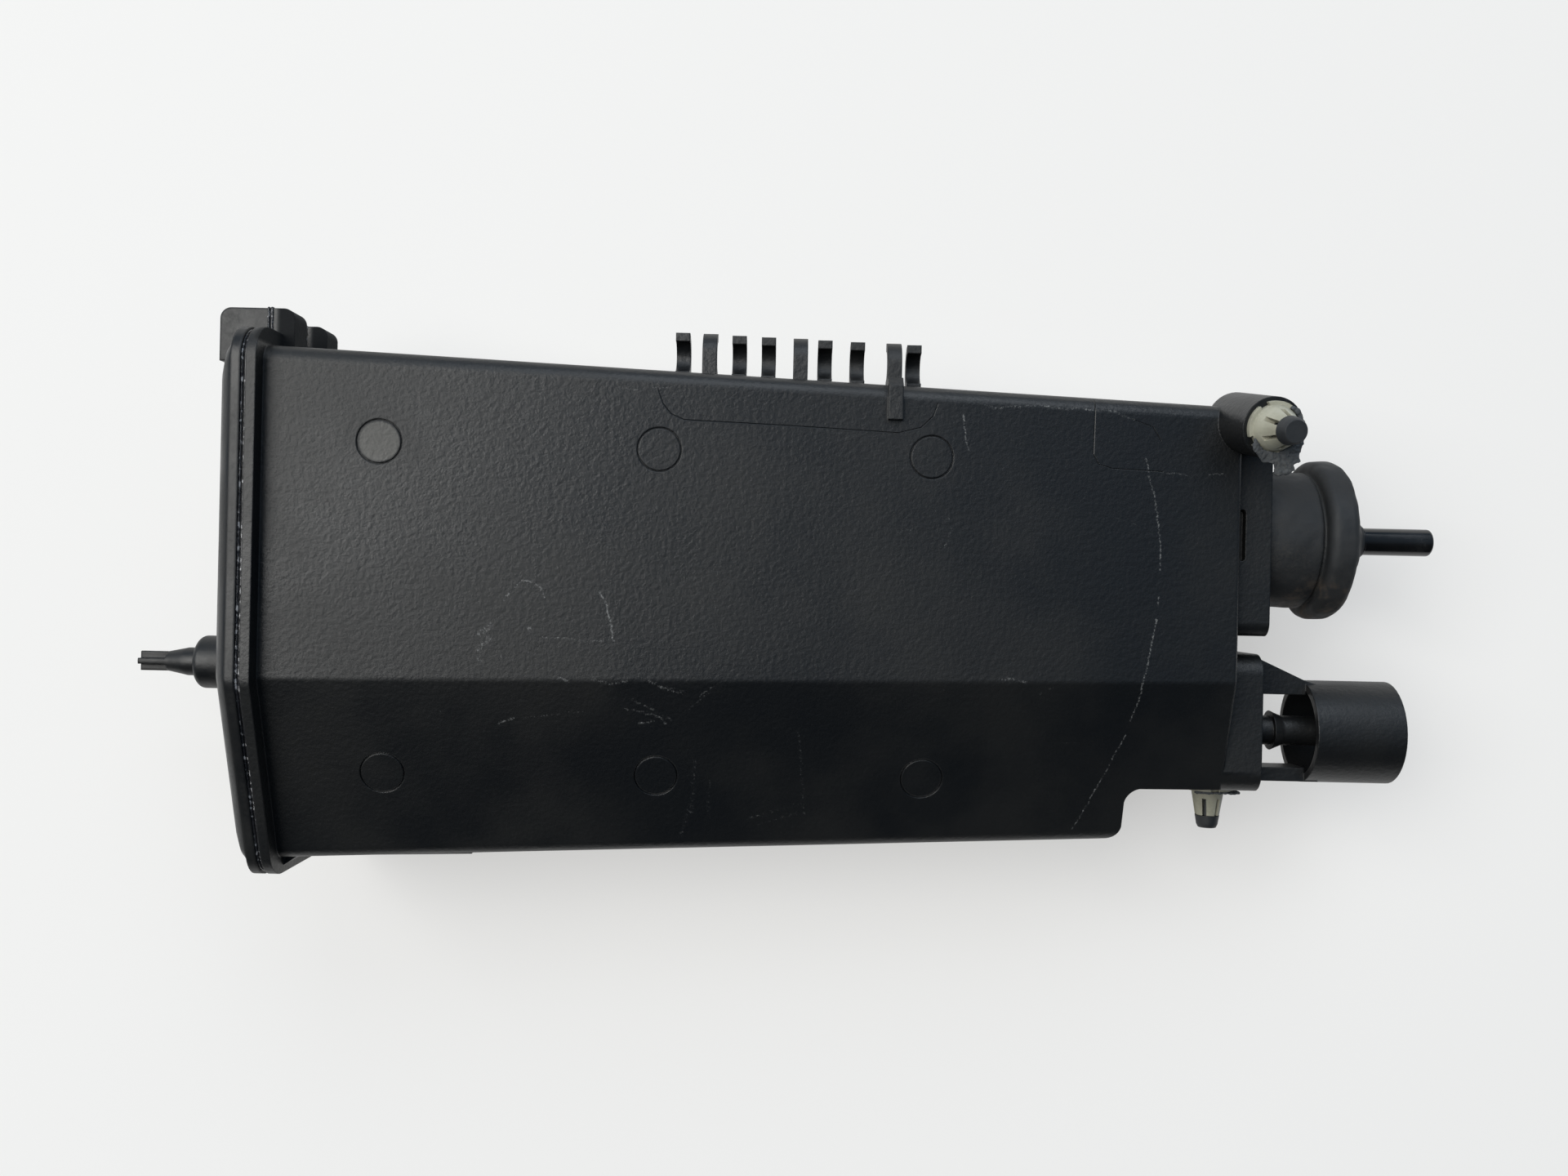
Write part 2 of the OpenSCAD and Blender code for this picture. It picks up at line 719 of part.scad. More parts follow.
// Seats and posts that centre the springs, on the cover's side
module spring_seat(y, z) {
    rod_x(x_crown - root, y, z, x_seat - x_crown + root, spring_d + wall, spring_d + wall);
    rod_x(x_crown - root, y, z, x_seat - x_crown + root + post_len, post_d, post_d);
}

module at_springs() {
    spring_seat(upper_spring_y, cover_z + spring_side);
    spring_seat(upper_spring_y, cover_z - spring_side);
    spring_seat(lower_spring_y, lower_spring_z);
}

module locating_stud() {
    shank_x = x_crown - stud_collar_len;
    taper_x = shank_x - stud_len;
    tip_x = taper_x - stud_taper_len;
    translate([x_crown + root, -stud_y, port_z]) rotate([0, -90, 0]) rotate_extrude() {
        edge = stud_collar_d / 2 - stud_collar_r;
        square([edge, root + stud_collar_len]);
        square([stud_collar_d / 2, root + stud_collar_len - stud_collar_r]);
        translate([edge, root + stud_collar_len - stud_collar_r]) circle(stud_collar_r);
    }
    rod_x(taper_x, -stud_y, port_z, stud_len + root, stud_d, stud_d);
    rod_x(tip_x, -stud_y, port_z, stud_taper_len, stud_tip_d, stud_d);
    intersection() {
        rod_x(tip_x - stud_tip_len, -stud_y, port_z, stud_tip_len + root, stud_tip_d, stud_tip_d);
        translate([tip_x, -stud_y, port_z]) for (turn = [0, 90])
            rotate([turn, 0, 0]) cube([2 * stud_tip_len, 2 * stud_tip_d, stud_rib], center = true);
    }
}

module end_cover() {
    color("#26272a") {
        difference() {
            union() {
                weld_flange(x_weld - cover_flange_t, x_weld);
                crown();
                intersection() {
                    ears(x_weld - ear_cover_len, x_weld);
                    translate([x_weld - past, 0, 0]) cube(past);
                }
                locating_stud();
            }
            difference() {
                cover_room();
                at_springs();
            }
        }
    }
}

// Boot of revolution about the port axis, drawn from the plinth outwards
module rubber_boot() {
    rim_at = boot_len + boot_groove;
    rim_end = boot_len + rim_len;
    cone_end = rim_end + boot_cone_len;
    color("#333334") translate([x_plinth, boot_y, port_z]) rotate([0, 90, 0]) rotate_extrude() {
        difference() {
            union() {
                square([boot_d / 2, boot_len]);
                square([boot_d / 2 - boot_groove, rim_end]);
                translate([0, rim_at]) square([rim_d / 2 - rim_r, rim_len - boot_groove]);
                translate([0, rim_at + rim_r]) square([rim_d / 2, rim_len - boot_groove - 2 * rim_r]);
                for (a = [rim_at + rim_r, rim_end - rim_r])
                    translate([rim_d / 2 - rim_r, a]) circle(rim_r);
                polygon([
                    [0, rim_end - root],
                    [rim_d / 2 - rim_r, rim_end - root],
                    [rim_d / 2 - rim_r, rim_end],
                    [boot_collar_d / 2, cone_end],
                    [boot_collar_d / 2, cone_end + boot_collar_len],
                    [0, cone_end + boot_collar_len]
                ]);
            }
            translate([-boot_d, -root]) square([boot_d + nipple_root_r + fit_gap, past]);
            translate([0, -root]) square([spigot_d / 2 + fit_gap, root + spigot_len + fit_gap]);
            polygon([
                [0, spigot_len],
                [spigot_d / 2 + fit_gap, spigot_len],
                [spigot_d / 2 + fit_gap, rim_end - boot_end_t],
                [nipple_flange_d / 2 + fit_gap, cone_end - boot_end_t],
                [0, cone_end - boot_end_t]
            ]);
        }
    }
}

module purge_nipple() {
    inside = boot_collar_len + boot_end_t + nipple_flange_t + fit_gap;
    whole = inside + nipple_len;
    color("#101113") translate([x_nipple - inside, boot_y, port_z]) rotate([0, 90, 0]) rotate_extrude()
        difference() {
            union() {
                square([nipple_flange_d / 2, nipple_flange_t]);
                square([nipple_root_r, inside + nipple_root_len]);
                square([nipple_d / 2, whole - nipple_r]);
                square([nipple_d / 2 - nipple_r, whole]);
                translate([nipple_d / 2 - nipple_r, whole - nipple_r]) circle(nipple_r);
            }
            translate([-nipple_d, -root]) square([nipple_d + nipple_bore / 2, past]);
        }
}

// Slotted collet with its flange and shank; Z starts at the seat and points out
module snap_collet(shank_len, flange_d, collet_d, collet_len) {
    end_d = collet_bore + 2 * collet_slot + fit_gap;
    slot_from = stud_flange_t + collet_len / 3;
    difference() {
        union() {
            translate([0, 0, -shank_len]) cylinder(h = shank_len + stud_flange_t, d = stud_bore - 2 * fit_gap);
            cylinder(h = stud_flange_t, d = flange_d);
            translate([0, 0, stud_flange_t]) cylinder(h = collet_len, d1 = collet_d, d2 = end_d);
        }
        translate([0, 0, -past / 2]) cylinder(h = past, d = collet_bore);
        for (turn = [0 : 60 : 120])
            rotate([0, 0, turn]) translate([-past / 2, -collet_slot / 2, slot_from])
                cube([past, collet_slot, past]);
        for (turn = [0 : 90 : 270])
            rotate([0, 0, turn]) translate([collet_d / 2 + fit_gap, -collet_slot, -fit_gap])
                cube([flange_d, 2 * collet_slot, stud_flange_t + 2 * fit_gap]);
    }
}

// Expander pin through a collet, with its wider tip beyond the collet
module snap_pin(shank_len, collet_len, tip_d) {
    tip_from = stud_flange_t + collet_len + fit_gap;
    rotate_extrude() {
        translate([0, -shank_len]) square([collet_bore / 2 - fit_gap, shank_len + tip_from + root]);
        polygon([
            [0, tip_from],
            [tip_d / 2, tip_from],
            [tip_d / 2 - tip_len / 8, tip_from + tip_len * 3 / 4],
            [tip_d / 2 - tip_len / 4, tip_from + tip_len],
            [0, tip_from + tip_len]
        ]);
    }
}

// What is left of a soft washer: a torn ring that hangs to one side of its stud
module torn_washer(inner_d, spread) {
    inner_r = inner_d / 2;
    translate([0, 0, stud_flange_t + fit_gap]) linear_extrude(washer_t) difference() {
        polygon([
            [-inner_r, -inner_r / 2],
            [-inner_r * 0.95, -inner_r * 0.9],
            [-inner_r * 0.7, -inner_r - spread / 5],
            [-inner_r / 2, -inner_r - spread / 2],
            [0, -inner_r - spread * 0.55],
            [inner_r / 20, -inner_r - spread * 0.95],
            [inner_r / 4, -inner_r - spread * 1.1],
            [inner_r * 0.65, -inner_r - spread * 1.05],
            [inner_r, -inner_r - spread * 0.85],
            [inner_r * 0.9, -inner_r - spread * 0.6],
            [inner_r * 1.2, -inner_r - spread * 0.4],
            [inner_r * 1.1, -inner_r],
            [inner_r * 1.25, -inner_r / 3],
            [inner_r * 1.2, inner_r * 0.3],
            [inner_r * 1.05, inner_r * 0.75],
            [inner_r * 0.6, inner_r],
            [0, 0]
        ]);
        circle(d = inner_d);
    }
}

module upper_collet() {
    color("#bdb9a4") at_upper_stud() translate([0, 0, boss_h]) rotate([0, 0, boss_turn + collet_turn])
        snap_collet(upper_shank_len, upper_flange_d, upper_collet_d, upper_collet_len);
}

module upper_pin() {
    color("#1c1d1f") at_upper_stud() translate([0, 0, boss_h])
        snap_pin(upper_shank_len, upper_collet_len, upper_tip_d);
}

module upper_washer() {
    color("#464b50") at_upper_stud() translate([0, 0, boss_h]) rotate([0, 0, boss_turn])
        torn_washer(upper_collet_d + fit_gap, boss_d / 3);
}

module lower_collet() {
    color("#bdb9a4") at_lower_stud()
        snap_collet(lower_shank_len, lower_flange_d, lower_collet_d, lower_collet_len);
}

module lower_pin() {
    color("#1c1d1f") at_lower_stud() snap_pin(lower_shank_len, lower_collet_len, lower_tip_d);
}

module lower_washer() {
    color("#2a2b2d") at_lower_stud() rotate([0, 0, 90])
        torn_washer(lower_collet_d + fit_gap, lower_flange_d / 4);
}

// Outline of one chamber at x, clear of its walls
module chamber_outline(x, upper, gap) {
    edge_y = upper ? -partition_y + wall / 2 + gap : -partition_y - wall / 2 - gap - past;
    intersection() {
        offset(delta = -wall - gap) polygon(outline(x));
        translate([edge_y, -past / 2]) square(past);
    }
}

// Flat piece across one chamber, cut to the narrower end of its own thickness
module chamber_slab(x, thickness, upper) {
    along_x(x, thickness) difference() {
        chamber_outline(x + thickness, upper, charge_gap);
        corner_trim(x + thickness, upper);
    }
}

// Small corners cut off, where the chamber's own corners are round
module corner_trim(x, upper) {
    edge = upper ? upper_y(x) - wall : lower_y(x) + wall;
    side = edge_r;
    front = upper ? front_z(x) : lower_front_z(x);
    for (z = [back_z(x) + wall, front - wall])
        translate([edge, z]) rotate(45) square(side, center = true);
}

// Charcoal filling one chamber between its two fleece pads
module charcoal(upper) {
    hull() {
        chamber_slab(x_bed + fit_gap, fit_gap, upper);
        chamber_slab(x_bed_end - 2 * fit_gap, fit_gap, upper);
    }
}

// Room that the stepped wall takes from the lower chamber, grown by a gap
module step_room(gap) {
    translate([x_step - wall - gap, -step_y + wall + gap - past, -root]) cube(past);
}

module upper_charcoal() {
    color("#1a1a1a") charcoal(true);
}

module lower_charcoal() {
    color("#1a1a1a") difference() {
        charcoal(false);
        step_room(charge_gap);
    }
}

module upper_port_fleece() {
    color("#d8d6cf") chamber_slab(x_bed_end, fleece_t - fit_gap, true);
}

module lower_port_fleece() {
    color("#d8d6cf") difference() {
        chamber_slab(x_bed_end, fleece_t - fit_gap, false);
        step_room(charge_gap);
    }
}

module upper_cover_fleece() {
    color("#d8d6cf") chamber_slab(x_plate + plate_t + fit_gap, fleece_t - fit_gap, true);
}

module lower_cover_fleece() {
    color("#d8d6cf") chamber_slab(x_plate + plate_t + fit_gap, fleece_t - fit_gap, false);
}

// Perforated plate with posts for its springs
module pressure_plate(upper, seats) {
    mid_y = upper ? upper_spring_y : lower_spring_y;
    columns = upper ? 3 : 2;
    difference() {
        chamber_slab(x_plate, plate_t, upper);
        for (i = [-columns : columns - 1], j = [-3 : 2])
            rod_x(x_plate - root, mid_y + (i + 0.5) * plate_pitch,
                cover_z - plate_hole_back + (j + 0.5) * plate_pitch,
                plate_t + 2 * root, plate_hole_d, plate_hole_d);
    }
    for (z = seats) rod_x(x_plate - post_len, mid_y, z, post_len + root, post_d, post_d);
}

module upper_plate() {
    color("#3c3e40") pressure_plate(true, [cover_z - spring_side, cover_z + spring_side]);
}

module lower_plate() {
    color("#3c3e40") pressure_plate(false, [lower_spring_z]);
}

// Wire of a compression spring: rings along a helix, closer together at both ends
module coil_spring(y, z) {
    rings = spring_turns * turn_rings;
    wire_r = spring_wire / 2;
    free_len = x_plate - x_seat - spring_wire - 2 * fit_gap;
    color("#9a9da0") skin([for (i = [0 : rings])
        let (turn = 360 * i / turn_rings,
            x = x_seat + fit_gap + wire_r + free_len * (1 - cos(180 * i / rings)) / 2)
        [for (j = [0 : wire_sides - 1])
            let (side = -360 * j / wire_sides, r = spring_r + wire_r * cos(side))
            [x + wire_r * sin(side), y + r * cos(turn), z + r * sin(turn)]]]);
}

module upper_front_spring() {
    coil_spring(upper_spring_y, cover_z + spring_side);
}

module upper_back_spring() {
    coil_spring(upper_spring_y, cover_z - spring_side);
}

module lower_spring() {
    coil_spring(lower_spring_y, lower_spring_z);
}

housing();
end_cover();
rubber_boot();
purge_nipple();
upper_collet();
upper_pin();
upper_washer();
lower_collet();
lower_pin();
lower_washer();
upper_port_fleece();
lower_port_fleece();
upper_charcoal();
lower_charcoal();
upper_cover_fleece();
lower_cover_fleece();
upper_plate();
lower_plate();
upper_front_spring();
upper_back_spring();
lower_spring();
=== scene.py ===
import json
import math

import bpy
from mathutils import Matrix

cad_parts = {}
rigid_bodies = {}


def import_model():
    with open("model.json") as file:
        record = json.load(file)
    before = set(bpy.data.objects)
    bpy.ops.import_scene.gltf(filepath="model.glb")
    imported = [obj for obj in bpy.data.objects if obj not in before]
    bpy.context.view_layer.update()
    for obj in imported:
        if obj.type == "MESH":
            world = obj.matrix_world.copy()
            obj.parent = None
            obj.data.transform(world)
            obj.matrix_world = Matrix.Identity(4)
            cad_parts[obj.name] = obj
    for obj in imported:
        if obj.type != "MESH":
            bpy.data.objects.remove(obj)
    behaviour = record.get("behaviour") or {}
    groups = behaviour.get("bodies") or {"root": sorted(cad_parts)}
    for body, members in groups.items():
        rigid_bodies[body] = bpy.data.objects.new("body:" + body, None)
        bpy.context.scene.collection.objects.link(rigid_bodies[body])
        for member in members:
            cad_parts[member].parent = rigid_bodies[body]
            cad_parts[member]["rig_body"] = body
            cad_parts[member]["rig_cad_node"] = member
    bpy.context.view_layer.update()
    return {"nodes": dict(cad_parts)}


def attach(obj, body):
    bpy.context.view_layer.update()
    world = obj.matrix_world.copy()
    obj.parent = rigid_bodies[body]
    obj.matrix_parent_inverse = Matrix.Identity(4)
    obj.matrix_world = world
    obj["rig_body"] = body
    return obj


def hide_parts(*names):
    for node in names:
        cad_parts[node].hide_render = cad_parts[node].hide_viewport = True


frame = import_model()
print("frame loaded with", len(frame["nodes"]), "solids")

mm = 0.001


def inMetres(lengths):
    return [length * mm for length in lengths]


# camera, straight above the front face

viewPoint = {
    "place": (-0.0005, 0.0046, 0.430),
    "roll": 1.25,        # degrees
    "lens": 30.0,
    "sensor": 36.0,
    "nearest": 0.01,
}

bpy.ops.object.select_all(action="DESELECT")
bpy.ops.object.camera_add(location=viewPoint["place"], rotation=(0, 0, math.radians(viewPoint["roll"])))
camera = bpy.context.active_object
camera.name = "camera"
camera.data.lens = viewPoint["lens"]
camera.data.sensor_width = viewPoint["sensor"]
camera.data.clip_start = viewPoint["nearest"]
bpy.context.scene.camera = camera
bpy.context.scene.view_settings.view_transform = "Standard"
print("camera set")


# small helpers for node trees

def addNode(tree, kind, **settings):
    node = tree.nodes.new("ShaderNode" + kind)
    for name, value in settings.items():
        setattr(node, name, value)
    return node


def feed(tree, socket, value):
    if isinstance(value, bpy.types.NodeSocket):
        tree.links.new(value, socket)
    elif value is not None:
        socket.default_value = value


def maths(tree, operation, first, second=None, third=None, clamp=False):
    node = addNode(tree, "Math", operation=operation, use_clamp=clamp)
    for socket, value in zip(node.inputs, (first, second, third)):
        feed(tree, socket, value)
    return node.outputs[0]


def vectorMaths(tree, operation, first, second=None, out="Vector"):
    node = addNode(tree, "VectorMath", operation=operation)
    feed(tree, node.inputs[0], first)
    feed(tree, node.inputs[1], second)
    return node.outputs[out]


def mapRange(tree, value, low, high, toLow, toHigh, smooth=True):
    node = addNode(tree, "MapRange", interpolation_type="SMOOTHSTEP" if smooth else "LINEAR")
    for name, setting in (("Value", value), ("From Min", low), ("From Max", high),
                          ("To Min", toLow), ("To Max", toHigh)):
        feed(tree, node.inputs[name], setting)
    return node.outputs["Result"]


def noise(tree, point, scale, detail=2.0, rough=0.5):
    node = addNode(tree, "TexNoise")
    feed(tree, node.inputs["Vector"], point)
    feed(tree, node.inputs["Scale"], scale)
    feed(tree, node.inputs["Detail"], detail)
    feed(tree, node.inputs["Roughness"], rough)
    return node


def mixColour(tree, mask, first, second):
    node = addNode(tree, "Mix", data_type="RGBA")
    feed(tree, node.inputs[0], mask)
    feed(tree, node.inputs[6], first)
    feed(tree, node.inputs[7], second)
    return node.outputs[2]


def newGroup(name, inputs, outputs):
    group = bpy.data.node_groups.new(name, "ShaderNodeTree")
    for label, kind, value in inputs:
        socket = group.interface.new_socket(name=label, in_out="INPUT", socket_type="NodeSocket" + kind)
        socket.default_value = value
    for label, kind in outputs:
        group.interface.new_socket(name=label, in_out="OUTPUT", socket_type="NodeSocket" + kind)
    return group, group.nodes.new("NodeGroupInput").outputs, group.nodes.new("NodeGroupOutput").inputs


def place(tree, group, **values):
    node = addNode(tree, "Group", node_tree=group)
    for label, value in values.items():
        feed(tree, node.inputs[label], value)
    return node.outputs


def objectPoint(tree):
    return addNode(tree, "TexCoord").outputs["Object"]


def takeApart(tree, vector):
    node = addNode(tree, "SeparateXYZ")
    feed(tree, node.inputs[0], vector)
    return node.outputs


# light: one large soft lamp up to the left, a weaker one above, and a dim sky that fades towards the viewer's side

studio = {
    "nearSky": (0.016, 0.022, 0.030, 1),     # towards -Y
    "farSky": (0.200, 0.280, 0.380, 1),      # towards +Y
    "skyFade": (-0.5, 0.35),
    "backdrop": (0.90, 0.895, 0.885, 1),     # what the camera sees past the floor
    "lamps": {
        "leftSoftbox": {"place": (-1.65, 0.7, 2.8), "size": 2.3, "power": 102.0, "colour": (1.0, 0.98, 0.935)},
        "topSoftbox": {"place": (0.5, 2.4, 2.0), "size": 1.8, "power": 28.0, "colour": (0.90, 0.95, 1.0)},
    },
}

for lampName, lamp in studio["lamps"].items():
    toOrigin = math.sqrt(sum(part * part for part in lamp["place"]))
    tilt = math.acos(lamp["place"][2] / toOrigin)
    turn = math.atan2(lamp["place"][1], lamp["place"][0])
    bpy.ops.object.light_add(type="AREA", location=lamp["place"], rotation=(0, tilt, turn))
    softbox = bpy.context.active_object
    softbox.name = lampName
    softbox.data.size = lamp["size"]
    softbox.data.energy = lamp["power"]
    softbox.data.color = lamp["colour"]

world = bpy.data.worlds.new("paleStudio")
bpy.context.scene.world = world
world.use_nodes = True
skyTree = world.node_tree
skyWay = takeApart(skyTree, addNode(skyTree, "TexCoord").outputs["Generated"])
skyColour = mixColour(skyTree, mapRange(skyTree, skyWay["Y"], *studio["skyFade"], 0.0, 1.0),
                      studio["nearSky"], studio["farSky"])
skyColour = mixColour(skyTree, addNode(skyTree, "LightPath").outputs["Is Camera Ray"], skyColour, studio["backdrop"])
feed(skyTree, skyTree.nodes["Background"].inputs["Color"], skyColour)
print("light set")


# shared effects

def makeMouldedGrain():
    group, given, out = newGroup(
        "mouldedGrain",
        [("Scale", "Float", 900.0), ("Patch Scale", "Float", 14.0)],
        [("Height", "Float"), ("Patches", "Float")])
    point = objectPoint(group)
    fine = noise(group, point, given["Scale"], 3.0, 0.55)
    feed(group, out["Height"], fine.outputs["Fac"])
    patches = noise(group, point, given["Patch Scale"], 4.0, 0.6)
    feed(group, out["Patches"], mapRange(group, patches.outputs["Fac"], 0.32, 0.68, 0.0, 1.0))
    return group


def makeDust():
    group, given, out = newGroup(
        "settledDust",
        [("Scale", "Float", 40.0), ("Cover", "Float", 0.5), ("Specks", "Float", 1500.0)],
        [("Mask", "Float")])
    point = objectPoint(group)
    film = noise(group, point, given["Scale"], 5.0, 0.62)
    bare = maths(group, "SUBTRACT", 1.0, given["Cover"])
    clouds = mapRange(group, film.outputs["Fac"], maths(group, "MULTIPLY", bare, 0.6),
                      maths(group, "ADD", bare, 0.35), 0.0, 1.0)
    specks = noise(group, point, given["Specks"], 2.0, 0.6)
    grainy = mapRange(group, specks.outputs["Fac"], 0.35, 0.7, 0.25, 1.0)
    feed(group, out["Mask"], maths(group, "MULTIPLY", clouds, grainy))
    return group


def makeStroke():
    group, given, out = newGroup(       # the canvas holds the place in X and Y, and the marks so far in Z
        "scratchStroke",
        [("Canvas", "Vector", (0, 0, 0)), ("From", "Vector", (0, 0, 0)), ("To", "Vector", (0, 0, 0)),
         ("Width", "Float", 0.0003), ("Strength", "Float", 1.0)],
        [("Canvas", "Vector")])
    soFar = takeApart(group, given["Canvas"])
    flat = vectorMaths(group, "MULTIPLY", given["Canvas"], (1, 1, 0))
    along = vectorMaths(group, "SUBTRACT", given["To"], given["From"])
    start = vectorMaths(group, "SUBTRACT", flat, given["From"])
    reach = maths(group, "DIVIDE",
                  vectorMaths(group, "DOT_PRODUCT", start, along, "Value"),
                  vectorMaths(group, "DOT_PRODUCT", along, along, "Value"), clamp=True)
    nearest = addNode(group, "VectorMath", operation="SCALE")
    feed(group, nearest.inputs[0], along)
    feed(group, nearest.inputs["Scale"], reach)
    away = vectorMaths(group, "LENGTH", vectorMaths(group, "SUBTRACT", start, nearest.outputs[0]), out="Value")
    mark = mapRange(group, away, 0.0, given["Width"], given["Strength"], 0.0, smooth=False)
    both = addNode(group, "CombineXYZ")
    feed(group, both.inputs["X"], soFar["X"])
    feed(group, both.inputs["Y"], soFar["Y"])
    feed(group, both.inputs["Z"], maths(group, "MAXIMUM", soFar["Z"], mark))
    feed(group, out["Canvas"], both.outputs[0])
    return group


mouldedGrain = makeMouldedGrain()
settledDust = makeDust()
scratchStroke = makeStroke()
print("shared effects built")


# marks on the front face, in millimetres across it: strength, half width, points

scratches = {
    "longArcTop": (0.47, 0.48, [(97.9, 42.3), (99.4, 36.1), (101.1, 29.2), (102.2, 21.0), (102.7, 11.8)]),
    "longArcMiddle": (0.51, 0.48, [(102.4, 4.2), (102.2, 1.7)]),
    "longArcLow": (0.51, 0.48, [(101.8, -2.1), (100.4, -10.0), (98.8, -18.3), (97.4, -26.4), (96.2, -30.2)]),
    "longArcEnd": (0.43, 0.42, [(95.3, -34.2), (91.3, -43.6), (86.7, -54.2), (83.0, -62.1)]),
    "wave": (0.35, 0.68, [(52.3, 55.9), (55.3, 54.7), (61.5, 55.3), (68.5, 56.0), (74.2, 55.0), (79.8, 55.4),
                        (88.2, 54.8), (94.2, 52.8)]),
    "upright": (0.51, 0.51, [(47.2, 53.1), (47.8, 46.5), (48.8, 42.9)]),
    "insertDash": (0.35, 0.59, [(103.7, 38.3), (110.1, 38.2)]),
    "insertDashEnd": (0.39, 0.51, [(115.8, 38.4), (119.5, 38.5)]),
    "arcScuff": (0.40, 0.70, [(-74.7, 0.0), (-72.6, 2.6), (-69.9, 5.0), (-68.0, 5.1), (-65.4, 3.4), (-64.0, 0.8)]),
    "patchTop": (0.42, 1.50, [(-81.2, -9.2), (-77.8, -7.0)]),
    "patchMiddle": (0.38, 1.40, [(-81.1, -13.6), (-78.5, -10.4)]),
    "patchFoot": (0.42, 0.90, [(-81.4, -15.8), (-80.3, -16.2)]),
    "dot": (0.67, 1.02, [(-67.9, -7.5), (-67.9, -7.7)]),
    "tick": (0.22, 0.60, [(-68.3, -11.2), (-67.9, -15.5)]),
    "tickSide": (0.22, 0.60, [(-75.7, -13.9), (-75.0, -15.2)]),
    "hook": (0.63, 0.54, [(-49.6, 2.4), (-47.6, -1.4), (-46.0, -8.6), (-45.5, -10.5)]),
    "hookFoot": (0.34, 0.50, [(-64.4, -10.0), (-58.0, -10.1), (-53.9, -10.7), (-45.5, -10.5)]),
    "creaseFirst": (0.38, 0.90, [(-60.3, -20.4), (-57.5, -21.4)]),
    "creaseSecond": (0.34, 0.90, [(-51.1, -20.7), (-46.8, -22.1), (-42.0, -21.2)]),
    "creaseThird": (0.34, 1.00, [(-36.2, -21.1), (-32.3, -22.8), (-27.1, -24.1)]),
    "slashFirst": (0.28, 0.90, [(-42.8, -28.8), (-37.2, -29.7), (-30.4, -31.4)]),
    "slashSecond": (0.26, 0.90, [(-41.0, -26.1), (-35.4, -28.7), (-31.7, -32.8)]),
    "slashThird": (0.30, 0.90, [(-39.0, -32.9), (-35.0, -31.9)]),
    "slashRising": (0.31, 0.51, [(-22.5, -25.1), (-17.0, -21.0)]),
    "slashRisingLow": (0.23, 0.51, [(-25.6, -28.6), (-19.6, -23.9)]),
    "lowBright": (0.47, 0.59, [(-76.3, -33.2), (-72.4, -32.0)]),
    "lowFaint": (0.20, 0.70, [(-71.1, -32.0), (-53.9, -29.7)]),
    "lowFaintLeft": (0.16, 0.68, [(-95.7, -30.1), (-90.6, -30.2)]),
    "creaseRight": (0.34, 0.90, [(58.9, -19.2), (62.3, -18.7), (65.9, -19.5)]),
    "tickRight": (0.21, 0.68, [(69.8, -23.1), (73.7, -21.0)]),
    "farTick": (0.23, 0.51, [(77.6, -36.6), (81.3, -36.5)]),
    "diagonal": (0.11, 0.68, [(44.2, -21.5), (30.5, -36.1)]),
    "smearFirst": (0.18, 1.60, [(-23.8, -43.3), (-25.0, -58.4)]),
    "smearSecond": (0.18, 1.60, [(-28.0, -65.7), (-25.0, -56.0)]),
    "smearThird": (0.15, 1.50, [(-20.0, -48.7), (-20.0, -60.0)]),
    "fall": (0.18, 1.30, [(4.4, -34.3), (6.4, -58.1)]),
    "fanUpper": (0.19, 1.10, [(-9.1, -59.7), (-1.4, -57.4), (5.6, -55.4)]),
    "fanLower": (0.18, 1.10, [(-7.1, -61.9), (4.3, -58.3)]),
    "bitLeft": (0.23, 0.68, [(8.7, 24.8), (9.0, 22.0)]),
    "bitMiddle": (0.21, 0.68, [(29.4, 20.5), (33.6, 21.0)]),
    "bitRight": (0.23, 0.59, [(43.8, 25.7), (44.4, 20.9), (42.9, 16.6)]),
    "faintDiagonal": (0.16, 0.51, [(88.9, 26.2), (100.4, 22.3)]),
    "cornerFaint": (0.11, 1.02, [(-133.1, -57.9), (-126.1, -51.1), (-120.5, -48.7)]),
    "edgeScuff": (0.27, 0.85, [(-45.9, 57.4), (-40.9, 56.5)]),
    "edgeScuffRight": (0.27, 0.85, [(-36.6, 57.1), (-32.7, 57.4)]),
}

insertLines = {         # hairlines that mould inserts left, half width then points
    "clipInsert": (0.22, [(-35.3, 57.1), (-33.9, 53.2), (-31.6, 50.4), (-28.1, 49.0), (-1.5, 48.3), (29.5, 47.2),
                          (35.7, 48.8), (39.0, 52.0), (40.2, 55.5)]),
    "bossInsert": (0.22, [(83.6, 58.0), (83.3, 43.0), (84.9, 40.2), (88.6, 39.2), (102.7, 38.7)]),
    "bossArc": (0.2, [(94.2, 52.8), (99.7, 50.9), (102.1, 47.2)]),
}

# one moulded disc painted lighter as a sheen, partly a lighter tone of its own
sheenDisc = {"centre": (-108.0, 40.9), "radius": 5.5, "rim": (0.02, 0.12)}

scratchWear = {
    "wobble": 260.0,
    "stray": 1.6,               # millimetres that a stroke wanders
    "spots": 1300.0,            # how fine the strokes break up
    "spotMiddle": 0.52,
    "spotFade": 4.0,
    "spotGain": 3.4,
    "shown": (0.14, 0.95),
    "most": 0.9,
}

dullEar = {                     # where the dull patch begins and is full, in millimetres
    "x": (-140.2, -138.6),
    "xEnd": (-118.0, -112.0),
    "y": (65.5, 67.0),
    "rough": 0.95,
}


def drawStroke(tree, canvas, points, halfWidth, strength=1.0):
    for start, end in zip(points, points[1:]):
        canvas = place(tree, scratchStroke, Canvas=canvas, Width=halfWidth * mm, Strength=strength,
                       From=(start[0] * mm, start[1] * mm, 0), To=(end[0] * mm, end[1] * mm, 0))["Canvas"]
    return canvas


def drawnMask(tree, canvas):
    return takeApart(tree, canvas)["Z"]


# materials

def startMaterial(name):
    material = bpy.data.materials.new(name)
    material.use_nodes = True
    tree = material.node_tree
    return material, tree, tree.nodes["Principled BSDF"].inputs


